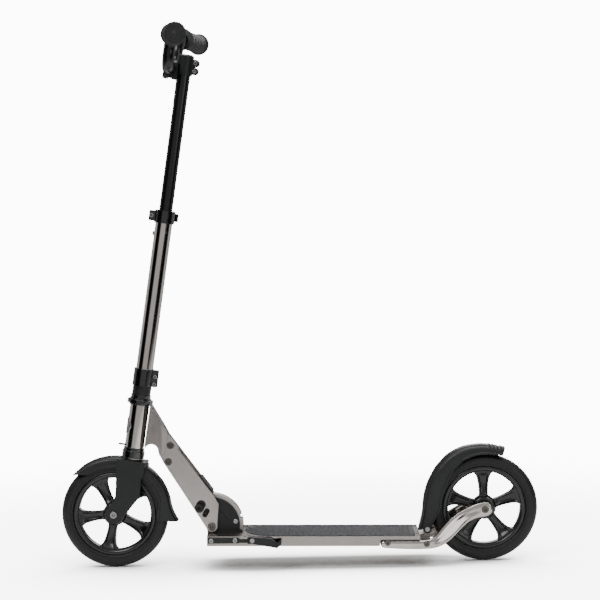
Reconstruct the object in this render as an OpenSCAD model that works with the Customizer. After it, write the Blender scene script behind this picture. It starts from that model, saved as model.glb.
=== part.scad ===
/* [Wheels] */
// Diameter of both wheels over the tyre
wheel_d = 200; // [180:1:215]
// Distance between the two axles
wheelbase = 690; // [680:1:760]
// Width of each tyre
tyre_w = 30; // [24:1:31]
// Number of spokes in each rim
spoke_count = 5; // [4:1:6]

/* [Deck] */
// Width of the deck
deck_w = 140; // [124:1:170]
// Height of the standing surface above the ground, midway between the axles
deck_top = 61; // [56:1:70]
// Thickness of the deck profile
deck_t = 18.5; // [16:0.5:22]
// Slope of the deck, nose up, in degrees
deck_slope = 1; // [0:0.25:2]

/* [Steering] */
// Lean of the steering axis behind the vertical, in degrees
head_lean = 8.8; // [6:0.2:12]
// Angle that the bars are turned to at rest, left grip forward, in degrees
rest_turn = 3.4; // [0:0.2:6]
// Height of the bar clamp up the steering axis with the stem fully out
bar_station = 832; // [790:1:880]
// How far the stem telescopes
stem_travel = 230; // [120:5:235]
// Outer diameter of the lower stem tube
lower_tube_d = 31.8; // [31:0.1:33]
// Outer diameter of the upper stem tube
upper_tube_d = 25.4; // [24:0.1:26]

/* [Handlebar] */
// Width over the grips
bar_w = 430; // [380:2:560]
// Height of the grips above the bar clamp
bar_rise = 61; // [58:1:90]
// Diameter of the bar tube
bar_d = 22.2; // [20:0.1:22.4]
// Radius of the grip flanges
grip_flange_r = 20.7; // [18.5:0.1:24]

/* [Hidden] */
$fn = 64;

wheel_r = wheel_d / 2;
front_x = -wheelbase / 2;
rear_x = wheelbase / 2;
axle_r = 4;
run_gap = 0.05;
bearing_r = 11;
bearing_w = 7;
hub_half = 15;
rim_r = 0.8 * wheel_r;
rim_inner_r = 0.67 * wheel_r;

// The steering axis: its foot is level with the front axle, and the fork leads it forward.
foot_x = front_x + 19;
fork_lead = 18.78;
axle_station = -2.9;
crown_top = wheel_r + 1.5;
lower_tube_r = lower_tube_d / 2;
upper_tube_r = upper_tube_d / 2;
lower_tube_bore = 14.1;
steerer_r = 14;
clamp_station = 242;
height_station = 548;
lower_tube_top = 556;
upper_tube_foot = height_station - 43;
upper_tube_top = bar_station + 26;
bar_r = bar_d / 2;
bar_lead = upper_tube_r + bar_r + 1.2;

// The fold: a cross bolt low behind the front wheel.
pivot = [front_x + 181, 76];
plate_in = 23;
plate_t = 5;
plate_out = plate_in + plate_t;
quadrant_r = 59;
cover_r = 52;
latch_pin = [-22.7, 34.4];
latch_guide = [-12.3, 22.3];
latch_dir = [0.5, 0.866];
latch_stroke = 8;
knob_r = 8;

// Colours
c_tyre = "#26282a";
c_rim = "#3a3c3e";
c_silver = "#b9b4b0";
c_chrome = "#c9c7c4";
c_black = "#1c1d1f";
c_steel = "#a8a8a8";

// ---- shared helpers ----

module at_steering() {
  translate([foot_x, 0, wheel_r]) rotate([0, head_lean, 0]) rotate([0, 0, -rest_turn]) children();
}

module at_head() {
  translate([foot_x, 0, wheel_r]) rotate([0, head_lean, 0]) children();
}

module at_front_axle() {
  at_steering() translate([-fork_lead, 0, axle_station]) children();
}

module at_rear_axle() {
  translate([rear_x, 0, wheel_r]) children();
}

module at_deck() {
  translate([0, 0, deck_top]) rotate([0, deck_slope, 0]) children();
}

module at_pivot() {
  translate([pivot[0], 0, pivot[1]]) children();
}

// A solid drawn in side view, x to the rear and z up, from y0 to y1.
module side_plate(y0, y1) {
  translate([0, y1, 0]) rotate([90, 0, 0]) linear_extrude(y1 - y0) children();
}

// A cylinder along y from y0 to y1, centred at x, z.
module cross(r, y0, y1, x = 0, z = 0) {
  translate([x, y1, z]) rotate([90, 0, 0]) cylinder(r = r, h = y1 - y0);
}

// A ring about the local z axis.
module ring(r_out, r_in, z0, z1) {
  translate([0, 0, z0]) difference() {
    cylinder(r = r_out, h = z1 - z0);
    translate([0, 0, -1]) cylinder(r = r_in, h = z1 - z0 + 2);
  }
}

// A round screw head with a hex socket, standing out along -y from y = 0.
module socket_head(r, h) {
  difference() {
    rotate([90, 0, 0]) cylinder(r1 = r, r2 = r - 0.7, h = h);
    translate([0, -0.3 * h, 0]) rotate([90, 0, 0]) cylinder(r = r * 0.45, h = h, $fn = 6);
  }
}

module both_sides() {
  children();
  mirror([0, 1, 0]) children();
}

// ---- wheels ----

module tyre() {
  color(c_tyre) rotate([90, 0, 0]) rotate_extrude($fn = 96) difference() {
    union() {
      translate([wheel_r - tyre_w / 2, 0]) circle(r = tyre_w / 2);
      translate([rim_r - 2, -tyre_w / 2]) square([wheel_r - tyre_w / 2 - rim_r + 2, tyre_w]);
    }
    translate([0, -tyre_w]) square([rim_r - 2, 2 * tyre_w]);
    translate([rim_r - 3, -5]) square([5, 10]);
  }
}

// The holes between the spokes: what a ring has left once the spokes are taken away.
module rim_windows() {
  offset(r = 5) offset(r = -5) difference() {
    circle(r = rim_inner_r);
    circle(r = 21);
    for (i = [0 : spoke_count - 1]) rotate(i * 360 / spoke_count)
      polygon([[0, -6], [21, -6.2], [rim_inner_r + 2, -12], [rim_inner_r + 2, 12], [21, 6.2], [0, 6]]);
  }
}

module rim(spoke_turn) {
  color(c_rim) rotate([90, 0, 0]) rotate(spoke_turn) difference() {
    union() {
      ring(rim_r - 2, rim_inner_r, -11, 11);
      ring(rim_r + 2, rim_r - 3, -5, 5);
      translate([0, 0, -8]) cylinder(r = rim_inner_r + 1, h = 16);
      translate([0, 0, -hub_half]) cylinder(r = 20, h = 2 * hub_half);
    }
    translate([0, 0, -20]) linear_extrude(40) rim_windows();
    for (i = [0 : spoke_count - 1], s = [-1, 1]) rotate(i * 360 / spoke_count)
      translate([0, 0, s > 0 ? 3 : -13]) linear_extrude(10)
        polygon([[23, -2.2], [60, -6], [60, 6], [23, 2.2]]);
    for (s = [-1, 1]) translate([0, 0, s > 0 ? hub_half - bearing_w : -hub_half - 1])
      cylinder(r = bearing_r, h = bearing_w + 1);
    translate([0, 0, -hub_half - 1]) cylinder(r = 8, h = 2 * hub_half + 2);
  }
}

module bearings() {
  color(c_steel) both_sides() rotate([90, 0, 0]) translate([0, 0, hub_half - bearing_w]) {
    ring(bearing_r, 9.4, 0, bearing_w);
    ring(9.5, 6, 0.6, bearing_w - 0.6);
    ring(6.2, axle_r + run_gap, 0, bearing_w);
  }
}

module axle(half_span, head_r) {
  color(c_steel) {
    cross(axle_r, -half_span, half_span);
    translate([0, -half_span, 0]) socket_head(head_r, 3.2);
    mirror([0, 1, 0]) translate([0, -half_span, 0]) socket_head(head_r, 3.2);
  }
}

module axle_spacers(inner_face) {
  color(c_steel) both_sides() translate([0, -hub_half - 0.4, 0]) rotate([90, 0, 0])
    ring(6.2, axle_r, 0, inner_face - hub_half - 0.4);
}

module front_tyre() { at_front_axle() tyre(); }
module front_rim() { at_front_axle() rim(42.6 + head_lean); }
module front_bearings() { at_front_axle() bearings(); }
module rear_tyre() { at_rear_axle() tyre(); }
module rear_rim() { at_rear_axle() rim(19); }
module rear_bearings() { at_rear_axle() bearings(); }

// ---- deck ----

deck_front = front_x + 173;
deck_back = rear_x - 123;
arm_front = rear_x - 197;
half_w = deck_w / 2;
arm_in = half_w - 16;
arm_screw_at = [[arm_front + 14, 46.5], [arm_front + 86, 43]];
screw_len = 23;

module deck_profile(w, t) {
  difference() {
    union() {
      translate([-w, -3]) square([2 * w, 3]);
      translate([-w + 1, -t + 2]) square([2 * w - 2, t - 3]);
      translate([-w + 3, -t]) square([2 * w - 6, 4]);
    }
    for (i = [-1, 0, 1]) translate([i * (2 * w - 6) / 3 - (w / 3 - 3.5), -t + 2.5])
      square([2 * (w / 3 - 3.5), t - 5.5]);
  }
}

module deck_run(x0, x1, w, t) {
  translate([x0, 0, 0]) rotate([90, 0, 90]) linear_extrude(x1 - x0) deck_profile(w, t);
}

module deck() {
  color(c_silver) difference() {
    at_deck() union() {
      deck_run(deck_front, arm_front, half_w, deck_t);
      deck_run(arm_front, deck_back, arm_in, deck_t - 2);
      translate([arm_front, -half_w, -6]) cube([deck_back - arm_front, deck_w, 6]);
    }
    both_sides() cross(2, -half_w, -half_w + screw_len, arm_screw_at[0][0], arm_screw_at[0][1]);
  }
}

module deck_mat() {
  mat_front = deck_front + 70;
  mat_back = deck_back - 9;
  nose = 46;
  color(c_black) at_deck() linear_extrude(1.4) intersection() {
    translate([mat_front, -half_w + 9]) square([mat_back - mat_front, deck_w - 18]);
    union() {
      translate([mat_front + nose, -half_w]) square([mat_back, deck_w]);
      translate([mat_front + nose, 0]) scale([nose / (half_w - 9), 1]) circle(r = half_w - 9);
    }
  }
}

// ---- rear arms ----

arm_drop_in = 30;
arm_drop_out = 38;

// One station of the arm: a flat rounded slab, x, z at its middle, reaching r each way.
module arm_station(x, z, r, y_in, y_out) {
  cross(r, -y_out, -y_in, x, z);
}

module rear_arm() {
  x = arm_front;
  drop_x = rear_x;
  color(c_silver) difference() {
    union() {
      hull() {
        translate([x, -half_w, 36.5]) cube([4, 14.5, 13]);
        translate([x + 46, -half_w, 32.5]) cube([56, 14.5, 15.5]);
      }
      hull() {
        translate([x + 98, -half_w, 32.5]) cube([4, 14.5, 15.5]);
        arm_station(drop_x - 84, 50, 14, half_w - 24, half_w - 5, $fn = 32);
      }
      hull() {
        arm_station(drop_x - 84, 50, 14, half_w - 24, half_w - 5, $fn = 32);
        arm_station(drop_x - 57, 74, 14, 36, 50, $fn = 32);
      }
      hull() {
        arm_station(drop_x - 57, 74, 14, 36, 50, $fn = 32);
        arm_station(drop_x - 30, 93, 11.5, arm_drop_in, 41, $fn = 32);
      }
      hull() {
        arm_station(drop_x - 30, 93, 11.5, arm_drop_in, 41, $fn = 32);
        arm_station(drop_x, wheel_r, 13.5, arm_drop_in, arm_drop_out, $fn = 32);
      }
    }
    cross(axle_r, -60, 0, drop_x, wheel_r);
    cross(7.8, -60, -arm_drop_out, drop_x, wheel_r);
    for (p = arm_screw_at) cross(2, -half_w - 1, -half_w + 16, p[0], p[1]);
  }
}

module rear_arm_left() { rear_arm(); }
module rear_arm_right() { mirror([0, 1, 0]) rear_arm(); }

module arm_screws() {
  color(c_steel) both_sides() for (p = arm_screw_at) translate([p[0], -half_w, p[1]]) {
    cross(2, 0, screw_len);
    socket_head(6, 2.4);
  }
}

module rear_axle() { at_rear_axle() axle(arm_drop_out, 7); }
module rear_axle_spacers() { at_rear_axle() axle_spacers(arm_drop_in); }

// ---- brake fender ----

fender_pin_at = [-107, -38];
brake_out_r = wheel_r + 14;
brake_half_w = 21;

// Cross-section of a mudguard, x outward from the axle: a rounded channel open at its foot.
module fender_section(r_out, half_w, foot_r, t) {
  r = 8;
  difference() {
    fender_blank(r_out, half_w, foot_r, r);
    fender_blank(r_out - t, half_w - t, foot_r - 1, r - t);
  }
}

module fender_blank(r_out, half_w, foot_r, r) {
  translate([foot_r, -half_w]) square([r_out - r - foot_r, 2 * half_w]);
  translate([foot_r, r - half_w]) square([r_out - foot_r, 2 * (half_w - r)]);
  for (s = [-1, 1]) translate([r_out - r, s * (half_w - r)]) circle(r = r);
}

module fender_sweep(a0, a1, r_out, half_w, foot_r, t) {
  rotate([90, 0, 0]) rotate(a0) rotate_extrude(angle = a1 - a0, $fn = 96)
    fender_section(r_out, half_w, foot_r, t);
}

module rear_fender() {
  r = brake_out_r;
  w = brake_half_w;
  color(c_black) at_rear_axle() difference() {
    union() {
      fender_sweep(66, 180, r, w, r - 22, 2.8);
      for (s = [-1, 1]) side_plate(s > 0 ? w - 2.6 : 0.2 - w, s > 0 ? w - 0.2 : 2.6 - w)
        polygon([[4 - r, 6], [-r - 7, -40], [-r - 6, -42.5], [-96, -42.5], [21 - r, 6]]);
      side_plate(-w + 1, w - 1)
        polygon([[0.4 - r, 6], [-r - 10, -42.5], [-r - 7.2, -42.5], [2.4 - r, 6]]);
    }
    cross(3 + run_gap, -w - 1, w + 1, fender_pin_at[0], fender_pin_at[1]);
    rotate([0, -74, 0]) translate([r - 40, -w - 1, -30]) cube([31, 2 * w + 2, 30]);
  }
}

module brake_pad() {
  color(c_black) at_rear_axle() rotate([90, 0, 0]) rotate(104) rotate_extrude(angle = 26)
    translate([brake_out_r - 6.3, -10]) square([3.5, 20]);
}

module fender_bracket() {
  color(c_silver) at_rear_axle() difference() {
    union() {
      cross(6.5, -17.6, 17.6, fender_pin_at[0], fender_pin_at[1]);
      side_plate(-17.6, 17.6) polygon([[deck_back - rear_x + 0.3, -58], [-102, -58], [-100.5, -38],
        [fender_pin_at[0] - 6.5, -38], [fender_pin_at[0] - 6.5, -49], [deck_back - rear_x + 0.3, -50]]);
      translate([-121, 14.5 - half_w, -62]) cube([18, deck_w - 29, 10]);
    }
    translate([-rear_x, 0, -wheel_r]) both_sides()
      cross(2, -half_w, -half_w + screw_len, arm_screw_at[1][0], arm_screw_at[1][1]);
    cross(3, -30, 30, fender_pin_at[0], fender_pin_at[1]);
  }
}

module fender_pin() {
  color(c_steel) at_rear_axle() translate([fender_pin_at[0], 0, fender_pin_at[1]]) {
    cross(3, -22.4, 22.4);
    both_sides() cross(4.6, -23.6, -21.4);
  }
}

// ---- fold hinge on the deck ----

module under_deck() {
  at_deck() translate([-400, -200, -60]) cube([800, 400, 60]);
}

module sector_outline(r) {
  circle(r = 11);
  intersection() {
    circle(r = r, $fn = 96);
    polygon([[-9, -16], [56, -16], [r + 8, 0], [r + 8, r + 8], [-r * 0.2, r + 8]]);
  }
}

module hinge_block() {
  color(c_silver) at_pivot() difference() {
    side_plate(-12, 12) difference() {
      sector_outline(quadrant_r);
      for (a = [96, 16]) rotate(a) translate([quadrant_r - 4, -3.5]) square([10, 7]);
    }
    cross(8, -30, 30);
    translate([-20, -20, -39.5]) cube([100, 40, 30]);
  }
}

// The foot that carries the quadrant, flat on the deck's nose.
module hinge_foot() {
  color(c_black) difference() {
    at_pivot() side_plate(-20, 20) polygon([[-9, -19], [56, -19], [56, -9.5], [-9, -9.5]]);
    under_deck();
  }
}

module hinge_covers() {
  color(c_black) difference() {
    at_pivot() both_sides() difference() {
      side_plate(-17.5, -12) difference() {
        sector_outline(cover_r);
        circle(r = 8.4);
      }
      side_plate(-18, -15.5) intersection() {
        difference() { circle(r = cover_r - 4); circle(r = cover_r - 22); }
        polygon([[6, 6], [60, 12], [40, 60], [14, 60]]);
      }
      cross(2.2, -20, -10, 44.5, 7);
    }
    under_deck();
    at_pivot() translate([-12, -19, -22]) cube([70, 38, 12.5]);
  }
}

module hinge_cover_screws() {
  color(c_steel) at_pivot() both_sides() translate([44.5, -17.5, 7]) {
    cross(2.2, 0, 5.4);
    socket_head(4.6, 0.7);
  }
}

module hinge_bushing() {
  color("#b98d4a") at_pivot() rotate([90, 0, 0]) ring(8, 5 + run_gap, -22.6, 22.6);
}

// ---- kickstand on the left side ----

stand_pin = [front_x + 257, 57];
side_face = half_w + 0.2;

module kickstand_bracket() {
  x0 = front_x + 175;
  color(c_black) difference() {
    union() {
      side_plate(-side_face - 4, -side_face)
        polygon([[x0, 62], [x0 + 58, 60.6], [x0 + 58, 51], [x0, 51.5]]);
      side_plate(-side_face - 3, -side_face)
        polygon([[x0 + 58, 57.5], [x0 + 76, 57.5], [x0 + 76, 51.5], [x0 + 58, 51.5]]);
      side_plate(-side_face - 6, -side_face)
        polygon([[x0 + 73, 61], [x0 + 92, 61], [x0 + 92, 50], [x0 + 73, 50]]);
    }
    cross(2.5, -side_face - 8, -side_face + 1, stand_pin[0], stand_pin[1]);
    for (x = [x0 + 6, x0 + 50]) cross(2, -side_face - 6, -side_face + 1, x, 56.5);
    for (i = [0 : 3]) translate([x0 + 75 + i * 4.4, -side_face - 6.5, 49]) cube([1.2, 1.2, 13]);
  }
}

module kickstand_screws() {
  color(c_steel) for (x = [front_x + 181, front_x + 225]) translate([x, -side_face - 4, 56.5]) {
    cross(2, 0, 4);
    socket_head(4.8, 1.8);
  }
}

module kickstand_pin() {
  color(c_steel) translate([stand_pin[0], 0, stand_pin[1]]) {
    cross(2.5, -side_face - 13, -side_face);
    cross(4.4, -side_face - 14.4, -side_face - 12.8);
  }
}

module kickstand_leg() {
  color(c_black) translate([stand_pin[0], 0, stand_pin[1]]) difference() {
    union() {
      side_plate(-side_face - 12.6, -side_face - 6.4) union() {
        circle(r = 6);
        polygon([[0, 6], [33, 3.5], [46, -4.5], [53.6, 1.5], [53.6, -7.5], [45, -15], [0, -6]]);
      }
      side_plate(-side_face - 15.5, -side_face - 5)
        polygon([[44, -6], [47, -4], [53.6, 1.5], [53.6, -7.5], [45, -15]]);
    }
    cross(2.5 + run_gap, -side_face - 20, -side_face);
  }
}

// ---- neck ----

bolt_spots = [[-73.6, 153.2], [-78.4, 122.6]];

module neck_blank(y0, y1) {
  side_plate(y0, y1)
    polygon([[-77.6, 170.1], [5.1, 56.3], [13.6, 41.3], [10, 0], [-8.5, -5.3], [-88.5, 122.8]]);
  cross(10.6, y0, y1);
}

module slot_2d(r, at) {
  translate(at) circle(r = r);
  translate(at + latch_stroke * latch_dir) circle(r = r);
  translate(at) rotate(60) translate([0, -r]) square([latch_stroke, 2 * r]);
}

module neck_plate() {
  color(c_silver) at_pivot() difference() {
    neck_blank(-plate_out, -plate_in);
    cross(5, -plate_out - 1, -plate_in + 1);
    for (p = bolt_spots) cross(3, -plate_out - 1, -plate_in + 1, p[0], p[1]);
    side_plate(-plate_out - 1, -plate_in + 1) {
      slot_2d(knob_r + 0.4, latch_pin);
      slot_2d(5, latch_guide);
    }
  }
}

module neck_plate_left() { neck_plate(); }
module neck_plate_right() { mirror([0, 1, 0]) neck_plate(); }

module neck_bolts() {
  color(c_steel) at_pivot() for (p = bolt_spots) translate([p[0], 0, p[1]]) {
    cross(3, -plate_out, plate_out);
    both_sides() translate([0, -plate_out, 0]) socket_head(7, 2);
  }
}

module pivot_bolt() {
  color(c_steel) at_pivot() {
    cross(5, -plate_out, plate_out);
    both_sides() translate([0, -plate_out, 0]) socket_head(7.4, 3);
  }
}

module gusset_side() {
  difference() {
    polygon([[-126, 131], [-110, 229.5], [-80.4, 176.5], [-77.6, 170.1], [-88.5, 122.8],
      [-91, 128], [-97, 141]]);
    translate([-109.5, 142.5]) circle(r = 12.5);
    polygon([[-126, 120], [-97, 120], [-97, 142], [-121, 142], [-121, 150], [-135, 150]]);
  }
}

module gusset_tongue() {
  polygon([[-96, 136], [-86, 186], [-77.6, 169.4], [-58, 142], [-70, 97], [-87.6, 122.9]]);
}

module neck_gusset() {
  color(c_silver) difference() {
    intersection() {
      at_pivot() union() {
        side_plate(-plate_out + 1, plate_out - 1) gusset_side();
        side_plate(-plate_in, plate_in) gusset_tongue();
      }
      translate([foot_x, 0, 0]) linear_extrude(400)
        polygon([[16, -14], [38, -17.5], [76, -plate_out], [126, -plate_out],
          [126, plate_out], [76, plate_out], [38, 17.5], [16, 14]]);
    }
    at_pivot() side_plate(-plate_in + 5, plate_in - 5)
      polygon([[-92, 140], [-82, 172], [-77, 165], [-56, 140], [-68, 96], [-84, 122]]);
    at_head() translate([0, 0, 100]) cylinder(r = 18, h = 130);
    at_head() translate([0, 0, 206]) cylinder(r = 26, h = 20);
    at_pivot() for (p = bolt_spots) cross(3, -40, 40, p[0], p[1]);
    at_pivot() both_sides() neck_blank(-40, -plate_in);
  }
}

module head_tube() { color(c_chrome) at_head() ring(18, 16, 125, 206); }

module headset_cups() {
  color(c_black) at_head() {
    ring(21, 15, 107, 119);
    ring(19.5, 15, 119, 125);
    ring(20, 15, 206, 209);
    ring(24, 15, 209, 216);
    ring(20, 15, 216, 219);
  }
}

module headset_bearings() {
  color(c_steel) at_head() {
    ring(15, steerer_r + run_gap, 109, 123);
    ring(15, steerer_r + run_gap, 207, 217);
  }
}

module head_badge() {
  color(c_steel) at_head() intersection() {
    translate([-30, 0, 165]) rotate([0, 90, 0]) cylinder(r = 15, h = 30);
    ring(19.2, 18, 140, 190);
  }
}

module strap_hook() {
  color(c_black) at_head() intersection() {
    translate([-30, -5, 127]) cube([14, 10, 2.6]);
    ring(30, 18, 120, 140);
  }
}

// ---- fold latch, riding in the neck ----

module rear_edge_frame() {
  translate([5.1, 56.3]) rotate(126) children();
}

module latch_yoke() {
  color(c_black) at_pivot() {
    side_plate(-22.5, 22.5) rear_edge_frame() mirror([0, 1])
      polygon([[42, 3], [6.5, 3], [6.5, 1.2], [11, -6], [42, -6]]);
    both_sides() side_plate(-22.5, -18.5) difference() {
      union() {
        translate(latch_pin) circle(r = 9.5);
        translate(latch_guide) circle(r = 6);
        polygon([latch_pin + [-6, 7], latch_pin + [-6, -7], latch_guide + [-3, -5], latch_guide + [6, 2],
          [-3, 61.5], [-16.5, 80]]);
      }
      translate(latch_pin) circle(r = 3.4);
    }
  }
}

module latch_knobs() {
  color(c_black) at_pivot() both_sides() {
    translate([latch_pin[0], -22.5, latch_pin[1]]) rotate([90, 0, 0]) ring(knob_r, 3.4, 0, 8);
    translate([latch_guide[0], -22.5, latch_guide[1]]) rotate([90, 0, 0]) ring(4.6, 2, 0, 7);
  }
}

// ---- fork and steerer ----

leg_in = 21;
leg_out = 26;

module fork_leg_outline() {
  polygon([[-25.5, 102], [-25.4, 83], [-20.5, 34], [-22.6, 22], [-30, 10], [-18.8, -10], [-6, -13.2],
    [24.8, 38], [23, 72], [26, 80], [28, 102]]);
  translate([-fork_lead, axle_station]) circle(r = 16.5);
}

module fork() {
  color(c_black) at_steering() difference() {
    union() {
      both_sides() {
        side_plate(-leg_out, -leg_in) fork_leg_outline();
        side_plate(-leg_out - 1.6, -leg_in)
          polygon([[-27, 102], [-26.4, 85], [-14, 81.5], [0, 80], [14, 76.5], [25.5, 72], [28, 102]]);
      }
      translate([-27, -leg_out, 99]) cube([55, 2 * leg_out, 3]);
      translate([0, 0, 99]) cylinder(r = 20, h = 5);
      translate([24, -leg_in, 90]) cube([4, 2 * leg_in, 12]);
    }
    translate([0, 0, 90]) cylinder(r = steerer_r, h = 20);
    cross(axle_r, -40, 40, -fork_lead, axle_station);
    translate([20, 0, 94]) rotate([0, 90, 0]) cylinder(r = 2.5, h = 12);
  }
}

module steerer() { color(c_steel) at_steering() ring(steerer_r, 12, 99, 270); }
module crown_race() { color(c_steel) at_steering() ring(20, steerer_r, 104, 106.6); }
module locknut() { color(c_black) at_steering() ring(18.5, steerer_r, 219.4, 225); }
module stem_sleeve() { color(c_black) at_steering() ring(17.45, steerer_r, 225, clamp_station); }

module front_axle() { at_front_axle() axle(leg_out, 7); }
module front_axle_spacers() { at_front_axle() axle_spacers(leg_in); }

guard_out_r = wheel_r + 7.7;
guard_half_w = 20.5;

module front_fender() {
  w = guard_half_w;
  r = guard_out_r;
  color(c_black) difference() {
    at_front_axle() rotate([0, -head_lean, 0]) difference() {
      union() {
        fender_sweep(-12, 140, r, w, r - 20, 2.5);
        for (s = [-1, 1]) side_plate(s > 0 ? w - 2.5 : -w, s > 0 ? w : 2.5 - w) flare(r);
        side_plate(-w, w) difference() { flare(r); translate([-2.5, 0]) flare(r); }
      }
      translate([-200, -50, 73.5]) mirror([0, 0, 1]) cube([150, 100, 60]);
      translate([50, -50, -15]) mirror([0, 0, 1]) cube([100, 100, 60]);
    }
    at_steering() translate([-27.6, -30, 99]) cube([60, 60, 20]);
    at_steering() translate([24, -30, 85.9]) cube([8.2, 60, 20]);
    at_steering() translate([10, 0, 94]) rotate([0, 90, 0]) cylinder(r = 2.5, h = 20);
  }
}

// The flick at the guard's tail, outside its round outline.
module flare(r) {
  polygon([[r * cos(14) - 1, r * sin(14)], [r + 3, 4], [r + 7.5, -6], [r + 12.5, -15],
    [r - 2, -15], [r - 2, 0]]);
}

module fender_bolt() {
  color(c_steel) at_steering() translate([19, 0, 94]) rotate([0, 90, 0]) {
    cylinder(r = 2.5, h = 11);
    translate([0, 0, 9]) cylinder(r = 6, h = 4);
  }
}

// ---- stem ----

// Two lugs and the slit between them, reaching x from x0 to x1 and z from z0 to z1.
module clamp_lugs(x0, x1, z0, z1, half) {
  translate([min(x0, x1), -half, z0]) cube([abs(x1 - x0), 2 * half, z1 - z0]);
}

module stem_clamp_lower() {
  z = clamp_station;
  color(c_black) at_steering() difference() {
    union() {
      ring(19.2, lower_tube_r, z, z + 32);
      clamp_lugs(14, 27, z + 0.5, z + 31.5, 9);
    }
    translate([0, 0, z - 1]) cylinder(r = lower_tube_r, h = 40);
    translate([10, -1.2, z - 1]) cube([20, 2.4, 40]);
    for (h = [6, 20]) cross(2.5, -20, 20, 22.5, z + h);
  }
}

module lower_clamp_bolts() {
  color(c_steel) at_steering() for (h = [6, 20]) translate([22.5, 0, clamp_station + h]) {
    cross(2.5, -9, 9);
    translate([0, -9, 0]) socket_head(4.2, 2);
  }
}

module lower_tube() {
  color(c_chrome) at_steering() difference() {
    ring(lower_tube_r, lower_tube_bore, clamp_station, lower_tube_top);
    translate([-25, 0, height_station - 21]) rotate([0, 90, 0]) cylinder(r = 4, h = 20);
  }
}

module height_clamp() {
  z = height_station;
  color(c_black) at_steering() difference() {
    union() {
      ring(19, 10, z, z + 23);
      clamp_lugs(-29, -14, z + 2, z + 21, 8);
    }
    translate([0, 0, z - 1]) cylinder(r = lower_tube_r, h = lower_tube_top - z + 1);
    translate([0, 0, z - 1]) cylinder(r = upper_tube_r + run_gap, h = 30);
    translate([-31, -1.2, z - 1]) cube([20, 2.4, 30]);
    cross(2.5, -20, 20, -24, z + 12);
  }
}

module height_clamp_bolt() {
  color(c_steel) at_steering() translate([-24, 0, height_station + 12]) {
    cross(2.5, -8, 13);
    translate([0, -8, 0]) socket_head(5, 3);
    translate([0, 13, 0]) ring(3.8, 1.9, -2.4, 2.4);
    translate([0, 13, -8]) cylinder(r = 2, h = 16);
  }
}

module height_lever() {
  color(c_black) at_steering() translate([0, 0, height_station + 12]) difference() {
    union() {
      translate([-24, 13, -8]) cylinder(r = 4.5, h = 16);
      rotate(28) translate([0, 0, -7.7]) rotate_extrude(angle = 119) translate([20.6, 0]) square([4, 15.4]);
      translate([0, 0, -7.4]) linear_extrude(14.8)
        polygon([[-22, 9.2], [-26.6, 16.2], [-19, 15], [-18, 12.2]]);
      rotate(28) translate([20.8, -7, -7.5]) cube([3.6, 8, 15]);
    }
    translate([-24, 13, -10]) cylinder(r = 2 + run_gap, h = 20);
    translate([-30, 4, -2.9]) cube([11, 20, 5.8]);
  }
}

module height_button() {
  color(c_steel) at_steering() translate([-18.6, 0, height_station - 21]) rotate([0, 90, 0])
    cylinder(r = 3.9, h = 4.2);
}

module upper_tube() {
  color(c_black) at_steering() difference() {
    ring(upper_tube_r, 8.7, upper_tube_foot, upper_tube_top);
    translate([-upper_tube_r - 1, -4.4, upper_tube_foot - 1]) cube([3.8, 8.8, stem_travel + 36]);
  }
}

module bar_stem() {
  z = bar_station;
  color(c_black) at_steering() difference() {
    union() {
      translate([0, 0, z - 8]) cylinder(r = 15.5, h = 36);
      translate([0, 0, z + 28]) cylinder(r1 = 15.5, r2 = 11, h = 3);
      for (h = [1.5, 16.6]) cross(6.8, -9, 9, 19.8, z + h);
      clamp_lugs(12, 20, z - 5, z + 23, 9);
      translate([-bar_lead - 11, -19, z]) cube([bar_lead, 38, 13]);
    }
    translate([0, 0, z - 9]) cylinder(r = upper_tube_r, h = upper_tube_top - z + 9);
    cross(bar_r, -40, 40, -bar_lead, z);
    translate([11, -1.2, z - 9]) cube([20, 2.4, 34]);
    for (h = [1.5, 16.6]) cross(2.5, -20, 20, 19.8, z + h);
  }
}

module bar_clamp() {
  z = bar_station;
  color(c_black) at_steering() difference() {
    translate([-bar_lead - 12, -19, z - 16]) cube([bar_lead + 2, 38, 15.7]);
    cross(bar_r, -40, 40, -bar_lead, z);
    translate([0, 0, z - 20]) cylinder(r = 15.8, h = 30);
    for (x = [-8, 8], s = [-1, 1]) translate([x - bar_lead, s * 13.5, z - 17]) cylinder(r = 2, h = 7);
  }
}

module stem_bolts() {
  z = bar_station;
  color(c_steel) at_steering() {
    for (h = [1.5, 16.6]) translate([19.8, 0, z + h]) {
      cross(2.5, -9, 9);
      translate([0, -9, 0]) socket_head(4.4, 2.4);
    }
    for (x = [-8, 8], s = [-1, 1]) translate([x - bar_lead, s * 13.5, z - 18.4]) {
      cylinder(r = 3.4, h = 2.4);
      cylinder(r = 2, h = 8);
    }
  }
}

// ---- handlebar ----

bend_r = 28;
bend_thin = 0.06;
riser_y = 66;
bar_corners = [[-bar_lead, 0, bar_station], [-bar_lead, riser_y, bar_station],
  [-bar_lead, riser_y, bar_station + bar_rise],
  [22.2 - bar_lead, bar_w / 2 - 6, bar_station + bar_rise - 2]];

function unit(v) = v / norm(v);

// A matrix whose columns are the axes a, b and their cross product, set at p.
function frame_at(p, a, b) = let (c = cross(a, b)) [
  [a[0], b[0], c[0], p[0]], [a[1], b[1], c[1], p[1]], [a[2], b[2], c[2], p[2]], [0, 0, 0, 1]];

function turn_angle(a, b) = acos(a * b);

// A straight run of round bar from p to q.
module bar_run(p, q, r) {
  d = unit(q - p);
  side = unit(cross(d, [1, 0, 0]));
  multmatrix(frame_at(p, side, cross(d, side))) cylinder(r = r, h = norm(q - p));
}

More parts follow.
